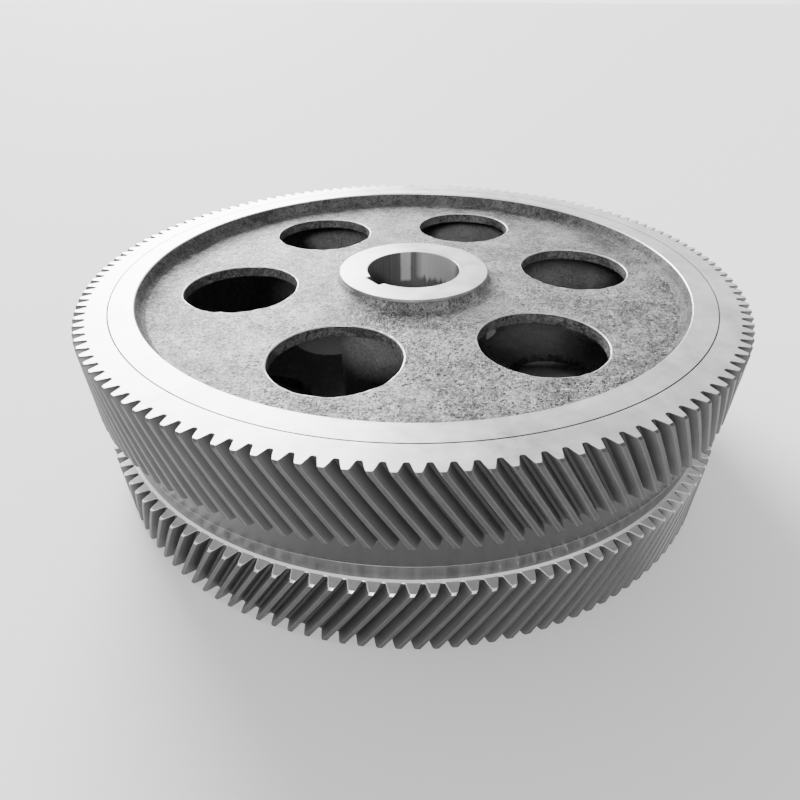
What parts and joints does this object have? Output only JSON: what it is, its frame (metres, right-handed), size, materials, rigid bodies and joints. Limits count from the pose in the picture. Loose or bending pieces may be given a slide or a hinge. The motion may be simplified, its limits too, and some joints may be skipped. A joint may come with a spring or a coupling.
{
  "type": "double-helical gear",
  "caption": "Large double-helical gear with a central run-out groove: toothed steel rim shrunk on a cast box-section centre with lightening holes, bored and keyed hub.",
  "frame": {"origin": "on the gear axis, at the middle of the face width", "axes": "+Z along the gear axis, towards the face whose hub and webs the picture shows; +X through the middle of the keyway; +Y completes the right-handed frame"},
  "size_m": [1.4, 1.4, 0.396],
  "materials": {
    "toothed_rim": "machined, satin, cut teeth",
    "wheel_centre": "as cast, with turned rim faces, hub faces and bore"
  },
  "bodies": {
    "root": {"toothed_rim": "toothed_rim", "wheel_centre": "wheel_centre"}
  },
  "joints": []
}
